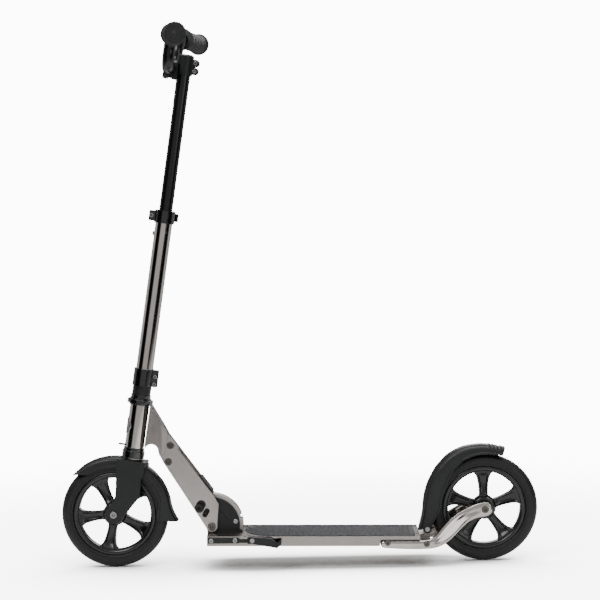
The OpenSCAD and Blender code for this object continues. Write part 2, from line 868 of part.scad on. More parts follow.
// The round bend at corner c between directions a and b, where the wall thins by slim.
module bar_bend(c, a, b, r, slim) {
  turn = turn_angle(a, b);
  reach = bend_r * tan(turn / 2);
  toward = unit(b - (a * b) * a);
  centre = c - reach * a + bend_r * toward;
  multmatrix(frame_at(centre, -toward, a)) rotate_extrude(angle = turn, $fn = 96)
    translate([bend_r, 0]) circle(r = r + slim);
}

module half_bar(r, spill, slim) {
  p = bar_corners;
  a = unit(p[1] - p[0]);
  b = unit(p[2] - p[1]);
  c = unit(p[3] - p[2]);
  reach_1 = bend_r * tan(turn_angle(a, b) / 2);
  reach_2 = bend_r * tan(turn_angle(b, c) / 2);
  bar_run(p[0], p[1] - reach_1 * a, r);
  bar_bend(p[1], a, b, r, slim);
  bar_run(p[1] + reach_1 * b, p[2] - reach_2 * b, r);
  bar_bend(p[2], b, c, r, slim);
  bar_run(p[2] + reach_2 * c, p[3] + spill * c, r);
}

module handlebar() {
  color(c_black) at_steering() difference() {
    union() {
      half_bar(bar_r, 0, -bend_thin);
      mirror([0, 1, 0]) half_bar(bar_r, 0, -bend_thin);
    }
    half_bar(bar_r - 2, 1, bend_thin);
    mirror([0, 1, 0]) half_bar(bar_r - 2, 1, bend_thin);
  }
}

grip_len = 126;

module grip() {
  p = bar_corners;
  c = unit(p[3] - p[2]);
  side = unit(cross(c, [0, 0, 1]));
  multmatrix(frame_at(p[3] + 6 * c, cross(side, c), side)) translate([0, 0, -grip_len]) difference() {
    rotate_extrude() {
      translate([bar_r, 0]) square([grip_flange_r - 1.5 - bar_r, 4]);
      translate([bar_r, 1]) square([grip_flange_r - bar_r, 2.4]);
      translate([bar_r, 0]) square([16.6 - bar_r, grip_len - 5]);
      for (i = [0 : 8]) translate([bar_r, 9 + i * 12]) square([17.6 - bar_r, 8]);
      translate([0, grip_len - 5.8]) square([grip_flange_r - 1.5, 5.8]);
      translate([0, grip_len - 4.6]) square([grip_flange_r, 3.4]);
    }
    translate([0, 0, grip_len - 0.8]) ring(12, 7, 0, 2);
  }
}

module grips() { color(c_tyre) at_steering() both_sides() grip(); }

deck();
deck_mat();
rear_arm_left();
rear_arm_right();
arm_screws();
rear_axle();
rear_axle_spacers();
fender_bracket();
fender_pin();
hinge_block();
hinge_foot();
hinge_covers();
hinge_cover_screws();
hinge_bushing();
kickstand_bracket();
kickstand_screws();
kickstand_pin();
kickstand_leg();
rear_fender();
brake_pad();
rear_tyre();
rear_rim();
rear_bearings();
neck_plate_left();
neck_plate_right();
neck_gusset();
neck_bolts();
pivot_bolt();
head_tube();
headset_cups();
headset_bearings();
head_badge();
strap_hook();
latch_yoke();
latch_knobs();
fork();
steerer();
crown_race();
front_axle();
front_axle_spacers();
front_fender();
fender_bolt();
locknut();
stem_sleeve();
stem_clamp_lower();
lower_clamp_bolts();
lower_tube();
height_clamp();
height_clamp_bolt();
height_lever();
height_button();
front_tyre();
front_rim();
front_bearings();
upper_tube();
bar_stem();
bar_clamp();
stem_bolts();
handlebar();
grips();
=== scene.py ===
import math
import bpy
import bmesh
from mathutils import Matrix, Vector


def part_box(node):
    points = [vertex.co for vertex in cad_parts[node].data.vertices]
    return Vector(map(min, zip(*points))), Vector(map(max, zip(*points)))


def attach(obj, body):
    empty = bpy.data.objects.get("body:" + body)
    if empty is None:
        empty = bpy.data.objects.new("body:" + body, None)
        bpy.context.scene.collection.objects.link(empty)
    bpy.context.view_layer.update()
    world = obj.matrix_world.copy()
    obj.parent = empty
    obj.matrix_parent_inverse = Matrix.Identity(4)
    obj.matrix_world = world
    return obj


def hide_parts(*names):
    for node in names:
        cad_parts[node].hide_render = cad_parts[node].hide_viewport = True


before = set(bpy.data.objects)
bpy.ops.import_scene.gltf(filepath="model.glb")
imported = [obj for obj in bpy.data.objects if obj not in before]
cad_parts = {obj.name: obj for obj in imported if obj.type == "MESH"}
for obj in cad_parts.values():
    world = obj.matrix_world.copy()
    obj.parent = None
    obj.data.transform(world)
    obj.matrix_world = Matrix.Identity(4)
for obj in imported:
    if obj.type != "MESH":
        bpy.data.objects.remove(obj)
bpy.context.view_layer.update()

mm = 0.001


# Colour and node helpers

def hexColor(code):
    # sRGB hex to the linear colour that shaders use
    channels = [int(code[i:i + 2], 16) / 255 for i in (1, 3, 5)]
    linear = [c / 12.92 if c <= 0.04045 else ((c + 0.055) / 1.055) ** 2.4 for c in channels]
    return (*linear, 1.0)


def addNode(tree, kind, inputs=None, **settings):
    node = tree.nodes.new(kind)
    for name, value in settings.items():
        setattr(node, name, value)
    for name, value in (inputs or {}).items():
        socket = node.inputs[name]
        if isinstance(value, bpy.types.NodeSocket):
            tree.links.new(value, socket)
        else:
            socket.default_value = value
    return node


def startMaterial(name):
    material = bpy.data.materials.new(name)
    material.use_nodes = True
    tree = material.node_tree
    tree.nodes.clear()
    place = addNode(tree, "ShaderNodeTexCoord").outputs["Object"]
    return material, tree, place


# The recess entries set the near-black shade painted into sockets and corners, and the ambient occlusion range
# that it follows
surface = {"noiseLow": 0.3, "noiseHigh": 0.7, "patchDetail": 3.0, "grainDetail": 4.0, "grainRough": 0.6,
           "coatRough": 0.1,
           "paintedShadeColor": "#050505", "recessLow": 0.35, "recessHigh": 0.85, "recessSamples": 8}


def surfaceMaterial(name, spec):
    # One surface: a body colour that drifts a little, uneven gloss, and fine relief of a real size
    material, tree, place = startMaterial(name)
    stretched = addNode(tree, "ShaderNodeMapping", {"Vector": place, "Scale": spec.get("stretch", (1, 1, 1))})
    patches = addNode(tree, "ShaderNodeTexNoise", {
        "Vector": place, "Scale": 1 / (spec["patchMm"] * mm), "Detail": surface["patchDetail"]}).outputs["Fac"]
    grain = addNode(tree, "ShaderNodeTexNoise", {
        "Vector": stretched.outputs["Vector"], "Scale": 1 / (spec["grainMm"] * mm),
        "Detail": surface["grainDetail"], "Roughness": surface["grainRough"]}).outputs["Fac"]
    total = addNode(tree, "ShaderNodeMath", {0: patches, 1: grain}, operation="ADD").outputs[0]
    mean = addNode(tree, "ShaderNodeMath", {0: total, 1: 0.5}, operation="MULTIPLY").outputs[0]
    drift = {"Value": mean, "From Min": surface["noiseLow"], "From Max": surface["noiseHigh"]}
    blend = addNode(tree, "ShaderNodeMapRange", drift).outputs["Result"]
    color = addNode(tree, "ShaderNodeMix", {0: blend, 6: hexColor(spec["dark"]), 7: hexColor(spec["light"])},
                    data_type="RGBA").outputs[2]
    if "paintedShadeMm" in spec:
        # painted shade: the colour is darkened towards near-black in sockets and tight corners, where ambient
        # occlusion finds the surface closed in
        openness = addNode(tree, "ShaderNodeAmbientOcclusion", {"Distance": spec["paintedShadeMm"] * mm},
                           samples=surface["recessSamples"]).outputs["AO"]
        unshaded = addNode(tree, "ShaderNodeMapRange", {
            "Value": openness, "From Min": surface["recessLow"],
            "From Max": surface["recessHigh"]}).outputs["Result"]
        color = addNode(tree, "ShaderNodeMix", {0: unshaded, 6: hexColor(surface["paintedShadeColor"]), 7: color},
                        data_type="RGBA").outputs[2]
    smoothest, roughest = spec["gloss"]
    rough = addNode(tree, "ShaderNodeMapRange", {
        **drift, "To Min": smoothest, "To Max": roughest}).outputs["Result"]
    bump = addNode(tree, "ShaderNodeBump", {
        "Height": grain, "Strength": spec["relief"], "Distance": spec["reliefMm"] * mm})
    inputs = {"Base Color": color, "Roughness": rough, "Normal": bump.outputs["Normal"],
              "Metallic": spec.get("metal", 0.0)}
    if "ior" in spec:
        inputs["IOR"] = spec["ior"]
    if "coat" in spec:
        inputs["Coat Weight"] = spec["coat"]
        inputs["Coat Roughness"] = surface["coatRough"]
    if "brushed" in spec:
        inputs["Anisotropic"] = spec["brushed"]
    shader = addNode(tree, "ShaderNodeBsdfPrincipled", inputs)
    addNode(tree, "ShaderNodeOutputMaterial", {"Surface": shader.outputs["BSDF"]})
    return material


# Materials: each is named for what it is and how it was made.
# grainMm is the size of the finest mark, patchMm the size of the slow drift in tone. A reach for recesses,
# where a finish gives one, paints shade darker into its sockets and corners up to that distance.
finishes = {
    # pressed plate, satin polished and clear anodised: soft warm-grey reflections, faint draw lines
    "satinAnodisedAluminium": {"dark": "#9a9490", "light": "#aea8a4", "metal": 1.0, "gloss": (0.30, 0.40),
                               "grainMm": 0.5, "patchMm": 40, "relief": 0.05, "reliefMm": 0.02,
                               "stretch": (0.15, 1, 1), "brushed": 0.3, "paintedShadeMm": 1.5},
    # forged arm, tumbled and polished: near-mirror with slow waves from the forging
    "polishedForgedAluminium": {"dark": "#a8a29d", "light": "#c2bcb7", "metal": 1.0, "gloss": (0.08, 0.16),
                                "grainMm": 2.0, "patchMm": 25, "relief": 0.05, "reliefMm": 0.05},
    # drawn tube, bright polished: long streaks along the draw
    "mirrorPolishedTube": {"dark": "#b5afaa", "light": "#cbc6c1", "metal": 1.0, "gloss": (0.06, 0.12),
                           "grainMm": 0.6, "patchMm": 60, "relief": 0.03, "reliefMm": 0.01,
                           "stretch": (1, 1, 0.05)},
    # extruded deck, anodised: fine lines along the extrusion
    "extrudedAnodisedAluminium": {"dark": "#8a8580", "light": "#9e9893", "metal": 1.0, "gloss": (0.18, 0.28),
                                  "grainMm": 0.4, "patchMm": 50, "relief": 0.08, "reliefMm": 0.02,
                                  "stretch": (0.03, 1, 1), "brushed": 0.4},
    # turned and zinc-plated steel screws: bright, slightly cloudy
    "zincPlatedSteel": {"dark": "#7a7877", "light": "#a09e9c", "metal": 1.0, "gloss": (0.2, 0.32),
                        "grainMm": 0.4, "patchMm": 5, "relief": 0.06, "reliefMm": 0.02, "paintedShadeMm": 2.5},
    # high-tensile screws, black zinc plated: dark with a soft metallic edge
    "blackZincPlatedSteel": {"dark": "#494643", "light": "#68645f", "metal": 1.0, "gloss": (0.16, 0.26),
                             "grainMm": 0.4, "patchMm": 5, "relief": 0.06, "reliefMm": 0.02, "paintedShadeMm": 2.5},
    # sintered bronze bush
    "sinteredBronze": {"dark": "#8a6238", "light": "#b08550", "metal": 1.0, "gloss": (0.35, 0.5),
                       "grainMm": 0.4, "patchMm": 5, "relief": 0.2, "reliefMm": 0.03},
    # black anodised tube: dark satin, metal shows at grazing angles
    "blackAnodisedAluminium": {"dark": "#060607", "light": "#0c0c0d", "metal": 0.2, "gloss": (0.18, 0.26),
                               "grainMm": 0.5, "patchMm": 60, "relief": 0.05, "reliefMm": 0.02,
                               "stretch": (1, 1, 0.1)},
    # powder coated steel and cast parts: fine orange peel
    "powderCoatedMetal": {"dark": "#090a0b", "light": "#101213", "gloss": (0.38, 0.5), "ior": 1.42,
                          "grainMm": 1.2, "patchMm": 30, "relief": 0.16, "reliefMm": 0.05},
    # stoved black enamel on turned parts: smooth and glossy
    "stovedBlackEnamel": {"dark": "#060607", "light": "#0b0b0c", "gloss": (0.10, 0.18), "coat": 0.6,
                          "grainMm": 1.5, "patchMm": 20, "relief": 0.05, "reliefMm": 0.03},
    # nylon moulded in a polished tool: the rims, with a soft shine
    "polishMouldedNylon": {"dark": "#070808", "light": "#0d0e0e", "gloss": (0.2, 0.3),
                           "grainMm": 1.4, "patchMm": 25, "relief": 0.08, "reliefMm": 0.03},
    # injection moulded nylon: spark-eroded texture, satin
    "mouldedNylon": {"dark": "#08090a", "light": "#0f1011", "gloss": (0.36, 0.5), "ior": 1.42,
                     "grainMm": 0.7, "patchMm": 20, "relief": 0.16, "reliefMm": 0.04},
    # moulded polypropylene mudguards: leathery grain, low gloss
    "mouldedPolypropylene": {"dark": "#0d0e0f", "light": "#151617", "gloss": (0.36, 0.48), "ior": 1.42,
                             "grainMm": 0.8, "patchMm": 30, "relief": 0.18, "reliefMm": 0.05},
    # cast polyurethane tyre: smooth, dusty in patches
    "castPolyurethane": {"dark": "#050606", "light": "#0b0c0c", "gloss": (0.4, 0.56), "ior": 1.42,
                         "grainMm": 0.9, "patchMm": 18, "relief": 0.2, "reliefMm": 0.04},
    # moulded rubber grips: soft matt
    "mouldedRubber": {"dark": "#191a1b", "light": "#28292a", "gloss": (0.5, 0.66), "ior": 1.42,
                      "grainMm": 0.6, "patchMm": 12, "relief": 0.25, "reliefMm": 0.05},
    # deck mat: sharp mineral grit bonded to rubber, drawn coarser than real grit so that it shows
    "gritCoatedRubber": {"dark": "#232426", "light": "#343538", "gloss": (0.6, 0.85), "ior": 1.42,
                         "grainMm": 1.0, "patchMm": 9, "relief": 0.8, "reliefMm": 0.25},
}
materials = {name: surfaceMaterial(name, spec) for name, spec in finishes.items()}
print("materials made:", len(materials))

cadFinish = {
    "satinAnodisedAluminium": "neck_plate_left neck_plate_right neck_gusset hinge_block fender_bracket",
    "polishedForgedAluminium": "rear_arm_left rear_arm_right",
    "extrudedAnodisedAluminium": "deck",
    "mirrorPolishedTube": "head_tube lower_tube",
    "zincPlatedSteel": "rear_axle_spacers fender_pin hinge_cover_screws kickstand_screws kickstand_pin"
                       " headset_bearings front_axle_spacers height_clamp_bolt height_button front_axle"
                       " front_bearings rear_bearings steerer crown_race head_badge fender_bolt"
                       " lower_clamp_bolts stem_bolts",
    "blackZincPlatedSteel": "arm_screws rear_axle neck_bolts pivot_bolt",
    "sinteredBronze": "hinge_bushing",
    "blackAnodisedAluminium": "upper_tube handlebar",
    "powderCoatedMetal": "fork kickstand_bracket bar_stem bar_clamp kickstand_leg hinge_foot",
    "stovedBlackEnamel": "stem_clamp_lower height_clamp locknut headset_cups",
    "polishMouldedNylon": "front_rim rear_rim",
    "mouldedNylon": "hinge_covers latch_yoke latch_knobs strap_hook height_lever stem_sleeve",
    "mouldedPolypropylene": "front_fender rear_fender",
    "castPolyurethane": "front_tyre rear_tyre",
    "mouldedRubber": "grips brake_pad",
    "gritCoatedRubber": "deck_mat",
}
# edge rounding in millimetres
edgeRounding = {"default": 0.35, "deck": 0.5, "fork": 0.8, "neck_gusset": 0.6, "neck_plate_left": 0.6,
                "neck_plate_right": 0.6, "hinge_block": 0.6, "kickstand_leg": 0.8, "bar_stem": 0.7,
                "bar_clamp": 0.7, "hinge_covers": 0.8, "height_lever": 0.6}
edgeWork = {"weld": 0.002, "flatWithin": 0.2, "sharpFrom": 32, "segments": 2}  # millimetres and degrees


def dressNode(name, finish):
    # A CAD node keeps its mesh and gets its finish and a softened edge
    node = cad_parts[name]
    node.data.materials.clear()
    node.data.materials.append(materials[finish])
    weld = node.modifiers.new("weld", "WELD")
    weld.merge_threshold = edgeWork["weld"] * mm
    flats = node.modifiers.new("wholeFlats", "DECIMATE")
    flats.decimate_type = "DISSOLVE"
    flats.angle_limit = math.radians(edgeWork["flatWithin"])
    bevel = node.modifiers.new("softEdge", "BEVEL")
    bevel.width = edgeRounding.get(name, edgeRounding["default"]) * mm
    bevel.segments = edgeWork["segments"]
    bevel.limit_method = "ANGLE"
    bevel.angle_limit = math.radians(edgeWork["sharpFrom"])
    bevel.use_clamp_overlap = True
    bevel.harden_normals = True
    smooth = node.modifiers.new("evenShade", "WEIGHTED_NORMAL")
    smooth.keep_sharp = True


for finish, names in cadFinish.items():
    for name in names.split():
        dressNode(name, finish)
print("CAD nodes dressed")

# Mesh helpers: every length in them is in millimetres

def boxCentre(node):
    low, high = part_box(node)
    return (low + high) / 2


steering = {"foot": (-0.326, 0.0, 0.100), "lean": 8.8, "turn": -3.4}
deck = {"topHigh": 0.061, "rise": 1.0}
atSteering = (Matrix.Translation(steering["foot"]) @ Matrix.Rotation(math.radians(steering["lean"]), 4, "Y")
              @ Matrix.Rotation(math.radians(steering["turn"]), 4, "Z"))
atFrontAxle = Matrix.Translation(boxCentre("front_tyre")) @ atSteering.to_3x3().to_4x4()
atFrontGuard = atFrontAxle @ Matrix.Rotation(math.radians(-steering["lean"]), 4, "Y")
atRearAxle = Matrix.Translation(boxCentre("rear_tyre"))
atDeck = Matrix.Translation((0, 0, deck["topHigh"])) @ Matrix.Rotation(math.radians(deck["rise"]), 4, "Y")


meshCare = {"merge": 0.004, "sliver": 0.002, "sharpFrom": 38}  # millimetres and degrees


def makePiece(name, points, faces, place, look, body, nodes, sharp=meshCare["sharpFrom"]):
    # A mesh in the finish of its surface, riding on a body in place of the CAD nodes
    mesh = bpy.data.meshes.new(name)
    mesh.from_pydata([place @ (Vector(p) * mm) for p in points], [], faces)
    bm = bmesh.new()
    bm.from_mesh(mesh)
    bmesh.ops.remove_doubles(bm, verts=bm.verts, dist=meshCare["merge"] * mm)
    bmesh.ops.dissolve_degenerate(bm, edges=bm.edges, dist=meshCare["sliver"] * mm)
    bmesh.ops.recalc_face_normals(bm, faces=bm.faces)
    bm.to_mesh(mesh)
    bm.free()
    mesh.shade_smooth()
    mesh.set_sharp_from_angle(angle=math.radians(sharp))
    mesh.materials.append(materials[look])
    piece = bpy.data.objects.new(name, mesh)
    bpy.context.scene.collection.objects.link(piece)
    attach(piece, body)
    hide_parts(*nodes)
    return piece


def skin(rings, wrapAlong=False, caps=False, start=0):
    # Points and faces of a surface through closed rings of equal count
    count = len(rings[0])
    points = [p for ring in rings for p in ring]
    faces = []
    for i in range(len(rings) if wrapAlong else len(rings) - 1):
        a, b = i * count, ((i + 1) % len(rings)) * count
        for j in range(count):
            k = (j + 1) % count
            faces.append((start + a + j, start + a + k, start + b + k, start + b + j))
    if caps:
        last = (len(rings) - 1) * count
        faces.append(tuple(start + j for j in reversed(range(count))))
        faces.append(tuple(start + last + j for j in range(count)))
    return points, faces


def turnedRings(profile, steps):
    # A closed profile of (radius, y) turned about the y axis
    turns = [2 * math.pi * i / steps for i in range(steps)]
    return [[(r * math.cos(t), y, r * math.sin(t)) for r, y in profile] for t in turns]


def bothSides(half):
    # A profile drawn for one side, joined to its mirror image
    return half + [(r, -y) for r, y in reversed(half)]


def blendValue(table, at):
    # A smooth value from rows of (position, value)
    if at <= table[0][0]:
        return table[0][1]
    for (a, low), (b, high) in zip(table, table[1:]):
        if at <= b:
            t = (at - a) / (b - a)
            return low + (high - low) * t * t * (3 - 2 * t)
    return table[-1][1]


# Tyres: cast polyurethane, flat shoulders, a rounded crown with two shallow grooves

tyre = {"radius": 100.0, "halfWidth": 15.0, "shoulder": 85.0, "crownPower": 2.25, "crownSteps": 24,
        "steps": 144, "grooveAt": 7.0, "grooveDeep": 0.5, "grooveWide": 0.9,
        # radius and y, from the bead inside the rim to the moulded line on the wall
        "wall": [(77.7, 0.0), (77.7, 5.0), (77.7, 12.6), (79.0, 14.2), (79.8, 14.7), (81.6, 14.75),
                 (82.0, 14.35), (82.6, 14.35), (83.0, 14.8)]}


def tyreProfile():
    half = list(tyre["wall"])
    rise = tyre["radius"] - tyre["shoulder"]
    power = 2 / tyre["crownPower"]
    for i in range(tyre["crownSteps"] + 1):
        t = math.radians(90 * i / tyre["crownSteps"])
        y = tyre["halfWidth"] * math.cos(t) ** power
        nearGroove = max(0.0, 1 - abs(y - tyre["grooveAt"]) / tyre["grooveWide"])
        r = tyre["shoulder"] + rise * math.sin(t) ** power - tyre["grooveDeep"] * nearGroove
        half.append((r, y))
    return half[:-1] + [(tyre["radius"], 0.0)] + [(r, -y) for r, y in reversed(half[1:-1])]


for end, place in (("front", atFrontAxle), ("rear", atRearAxle)):
    points, faces = skin(turnedRings(tyreProfile(), tyre["steps"]), wrapAlong=True)
    makePiece(end + "TyreCast", points, faces, place, "castPolyurethane", end + "_wheel",
              [end + "_tyre"])
print("tyres made")

# Rims: moulded nylon, five flared spokes with a channel in each face

rim = {"spokes": 5, "turn": {"front": 51.4, "rear": 19.0}, "steps": 120,
       # radius and y
       "barrel": [(67.0, 0.0), (67.2, 6.0), (67.9, 9.0), (69.4, 11.2), (71.8, 12.3), (75.0, 12.6),
                  (77.0, 12.0), (77.9, 10.8), (77.9, 4.0)],
       "hub": [(8.2, 0.0), (8.2, 7.9), (11.1, 7.9), (11.1, 14.7), (11.6, 15.0), (17.6, 15.0), (19.2, 14.0),
               (19.8, 12.0), (20.6, 10.2), (22.2, 8.6), (22.2, 3.0)],
       # radius out, half width, half depth, channel depth
       "spoke": [(17.0, 9.8, 7.6, 0.0), (21.5, 8.6, 7.9, 0.0), (25.0, 8.2, 8.0, 2.2),
                 (31.0, 8.2, 8.0, 4.4), (38.0, 8.7, 8.0, 5.0), (45.0, 9.5, 8.0, 5.0),
                 (52.0, 10.7, 8.1, 4.8), (57.5, 12.3, 8.3, 3.8), (61.5, 14.4, 8.7, 2.0),
                 (64.5, 17.2, 9.2, 0.5), (66.8, 20.8, 9.6, 0.0), (69.5, 25.5, 9.8, 0.0)],
       # shares of the half width, the half depth and the channel's depth, from one edge to the middle
       "section": [(-1.0, 0.45, 0.0), (-1.0, 0.80, 0.0), (-0.96, 0.93, 0.0), (-0.88, 1.0, 0.0),
                   (-0.72, 1.0, 0.0), (-0.62, 1.0, 0.35), (-0.54, 1.0, 0.9), (-0.44, 1.0, 1.0),
                   (0.0, 1.0, 1.0)]}


def spokeRing(radius, width, deep, channel, turn):
    # The spoke's outline at one radius, turned to its place in the wheel
    half = [(across, high * deep - low * channel) for across, high, low in rim["section"]]
    upper = half + [(-t, y) for t, y in reversed(half[:-1])]
    outline = [(t * width, y) for t, y in upper] + [(-t * width, -y) for t, y in upper]
    c, s = math.cos(turn), math.sin(turn)
    return [(radius * c - t * s, y, radius * s + t * c) for t, y in outline]


for end, place in (("front", atFrontAxle), ("rear", atRearAxle)):
    points, faces = [], []
    for profile in (bothSides(rim["barrel"])[1:], bothSides(rim["hub"])[1:]):
        more, closed = skin(turnedRings(profile, rim["steps"]), wrapAlong=True, start=len(points))
        points += more
        faces += closed
    for i in range(rim["spokes"]):
        turn = math.radians(rim["turn"][end] + i * 360 / rim["spokes"])
        rings = [spokeRing(*station, turn) for station in rim["spoke"]]
        more, closed = skin(rings, caps=True, start=len(points))
        points += more
        faces += closed
    makePiece(end + "RimMoulded", points, faces, place, "polishMouldedNylon", end + "_wheel", [end + "_rim"])
print("rims made")


# Mudguards: a moulded shell swept along a path, with a raised band down the crown

guard = {"lip": 1.0, "lipWide": 3.2, "lipShare": 0.2, "lipFade": 1.3, "bendShare": 0.8, "leastBend": 0.5,
         "bendSteps": 7, "crownDrop": 0.9,
         # share of the half width, and of the raised band's height, from the shoulder to the middle
         "crown": [(0.62, 0.0), (0.585, 0.5), (0.55, 1.0), (0.4, 1.0), (0.2, 1.0), (0.0, 1.0)]}


def guardStation(x, z, lean, depth, band, corner):
    return {"at": Vector((x, z)), "lean": math.radians(lean), "depth": depth, "band": band, "corner": corner}


def guardSection(station, halfWidth, inset):
    # Outline across the guard from one foot to the other, at a depth inset below the outer skin
    depth = station["depth"]
    bend = min(station["corner"], guard["bendShare"] * depth)
    r = max(guard["leastBend"], bend - inset)
    side = halfWidth - guard["lip"] - inset
    lip = 0.0 if inset else guard["lip"]
    lipWide = min(guard["lipWide"], guard["lipShare"] * depth)
    half = [(-side - lip, -depth), (-side - lip, -depth + lipWide),
            (-side, -depth + guard["lipFade"] * lipWide), (-side, -0.5 * (depth + bend))]
    for i in range(guard["bendSteps"]):
        t = math.radians(90 * i / (guard["bendSteps"] - 1))
        z = (bend - inset) * math.sin(t) - bend - guard["crownDrop"]
        half.append((-side + r - r * math.cos(t), z))
    for across, share in guard["crown"]:
        half.append((-across * halfWidth, -inset - guard["crownDrop"] * (1 - share * station["band"])))
    return half + [(-y, z) for y, z in reversed(half[:-1])]


def guardShell(stations, halfWidth, thick):
    rings = []
    for station in stations:
        out = Vector((math.cos(station["lean"]), math.sin(station["lean"])))
        outer = guardSection(station, halfWidth, 0.0)
        inner = guardSection(station, halfWidth, thick)
        ring = []
        for y, z in outer + list(reversed(inner)):
            p = station["at"] + out * z
            ring.append((p.x, y, p.y))
        rings.append(ring)
    return skin(rings, caps=True)


# angles are in degrees from the rear, turning up over the wheel
frontGuard = {"radius": 107.7, "halfWidth": 20.5, "thick": 2.5, "wallFoot": 87.7, "lowEdge": 75.0,
              "tip": 135.2, "step": 2.2, "count": 56, "leastDepth": 2.4, "corner": 8.0,
              "band": [(15, 0), (30, 1), (120, 1), (134, 0)],
              # x, z, lean and wall depth down the flared tail
              "tail": [(105.3, 20.0, 9, 22.4), (107.0, 12.0, 6, 25), (109.3, 4.5, 3, 28),
                       (112.2, -2.5, 0, 31), (115.6, -9.0, -2, 34), (119.3, -14.8, -3, 37)]}


def makeFrontGuard():
    g = frontGuard
    stations = []
    for i in range(g["count"]):
        a = g["tip"] - g["step"] * i
        t = math.radians(a)
        ahead = g["lowEdge"] / math.sin(t) if a > 90 else 0.0
        depth = max(g["leastDepth"], g["radius"] - max(g["wallFoot"], ahead))
        stations.append(guardStation(g["radius"] * math.cos(t), g["radius"] * math.sin(t), a, depth,
                                     blendValue(g["band"], a), g["corner"]))
    stations += [guardStation(*row, 0.0, g["corner"]) for row in g["tail"]]
    points, faces = guardShell(stations, g["halfWidth"], g["thick"])
    makePiece("frontMudguard", points, faces, atFrontGuard, "mouldedPolypropylene", "front_end",
              ["front_fender"])


rearGuard = {"halfWidth": 21.0, "thick": 2.8, "corner": 9.0,
             # first angle, step and count of the sections over the ribs and over the rest
             "ribbed": (70, 0.45, 36), "plain": (87, 2.4, 39),
             "out": [(70, 119.5), (76, 117.5), (84, 117.2), (95, 118.0), (110, 119.6), (122, 119.4),
                     (136, 116.8), (152, 114.4), (168, 113.8), (180, 114.2)],
             "skirt": [(70, 16), (84, 17), (95, 18), (110, 22), (124, 27), (147, 32), (180, 33)],
             "band": [(72, 0), (88, 1.6), (176, 1.6), (180, 1.4)],
             "ribs": (74.0, 77.5, 81.0, 84.5), "ribHigh": 1.3, "ribWide": 0.9,
             # x, z, lean and wall depth down to the pivot
             "foot": [(-115.6, -8, 184, 32), (-117.3, -16, 187, 30), (-119.2, -24, 190, 28),
                      (-121.3, -32, 192, 26), (-123.6, -40.5, 193, 26)],
             "footBand": 1.2, "footCorner": 8.0,
             "ear": {"x": -107.0, "z": -38.0, "radius": 7.5, "inner": 17.9, "outer": 21.0, "steps": 32}}


def makeRearGuard():
    g = rearGuard
    stations = []
    for first, step, count in (g["ribbed"], g["plain"]):
        for i in range(count):
            a = first + step * i
            t = math.radians(a)
            rib = max(max(0.0, 1 - abs(a - at) / g["ribWide"]) for at in g["ribs"])
            r = blendValue(g["out"], a) + g["ribHigh"] * (1 - (1 - rib) ** 2)
            stations.append(guardStation(r * math.cos(t), r * math.sin(t), a, blendValue(g["skirt"], a),
                                         blendValue(g["band"], a), g["corner"]))
    stations += [guardStation(*row, g["footBand"], g["footCorner"]) for row in g["foot"]]
    points, faces = guardShell(stations, g["halfWidth"], g["thick"])
    ear = g["ear"]
    turns = [2 * math.pi * i / ear["steps"] for i in range(ear["steps"])]
    for side in (-1, 1):
        rings = [[(ear["x"] + ear["radius"] * math.cos(t), side * y, ear["z"] + ear["radius"] * math.sin(t))
                  for t in turns] for y in (ear["inner"], ear["outer"])]
        more, closed = skin(rings, caps=True, start=len(points))
        points += more
        faces += closed
    makePiece("rearBrakeGuard", points, faces, atRearAxle, "mouldedPolypropylene", "brake_fender",
              ["rear_fender"])


makeFrontGuard()
makeRearGuard()
print("mudguards made")

# Rear arms: forged and polished, with a crease along the outer face

arm = {"steps": 36, "squareAcross": 0.34, "squareUp": 0.62, "sharpFrom": 60,
       # the crease: its depth, its height and width as shares of the half height, and where along x it runs
       "creaseDeep": 1.5, "creaseAt": 0.12, "creaseWide": 0.17,
       "creaseAlong": [(246, 0), (266, 1), (312, 1), (334, 0)],
       # x, z, half height, inner y, outer y
       "line": [(148.5, 43.0, 6.4, 55.5, 70.0), (160.0, 42.6, 6.8, 55.5, 70.0),
                (194.0, 40.6, 7.8, 55.5, 70.0), (232.0, 40.4, 8.0, 55.0, 70.0),
                (246.0, 42.2, 9.2, 52.5, 69.2), (257.0, 47.0, 11.2, 49.0, 66.8),
                (267.0, 54.6, 13.0, 45.0, 63.0), (277.0, 64.0, 13.8, 40.5, 57.5),
                (288.0, 74.4, 13.8, 36.0, 51.5), (299.0, 83.2, 12.9, 33.0, 46.5),
                (311.0, 90.2, 12.0, 31.0, 42.8), (324.0, 95.2, 11.9, 30.0, 40.0),
                (336.0, 98.6, 12.9, 30.0, 38.4), (345.0, 100.0, 13.5, 30.0, 38.0),
                (351.0, 100.9, 12.0, 30.0, 38.0), (355.6, 101.6, 8.7, 30.1, 37.9),
                (358.2, 102.0, 3.6, 30.5, 37.5)]}


def armRing(i, side):
    # A squared oval across the arm at one station
    line = arm["line"]
    x, z, high, inner, outer = line[i]
    ahead, behind = line[min(i + 1, len(line) - 1)], line[max(i - 1, 0)]
    along = Vector((ahead[0] - behind[0], ahead[1] - behind[1])).normalized()
    up = Vector((-along.y, along.x))
    crease = arm["creaseDeep"] * blendValue(arm["creaseAlong"], x)
    middle, half = (inner + outer) / 2, (outer - inner) / 2
    ring = []
    for k in range(arm["steps"]):
        t = 2 * math.pi * k / arm["steps"]
        c, s = math.cos(t), math.sin(t)
        across = math.copysign(abs(c) ** arm["squareAcross"], c)
        rise = math.copysign(abs(s) ** arm["squareUp"], s)
        y = middle + half * across
        if across > 0.5:
            y -= crease * math.exp(-((rise - arm["creaseAt"]) / arm["creaseWide"]) ** 2)
        p = Vector((x, z)) + up * (rise * high)
        ring.append((p.x, side * y, p.y))
    return ring


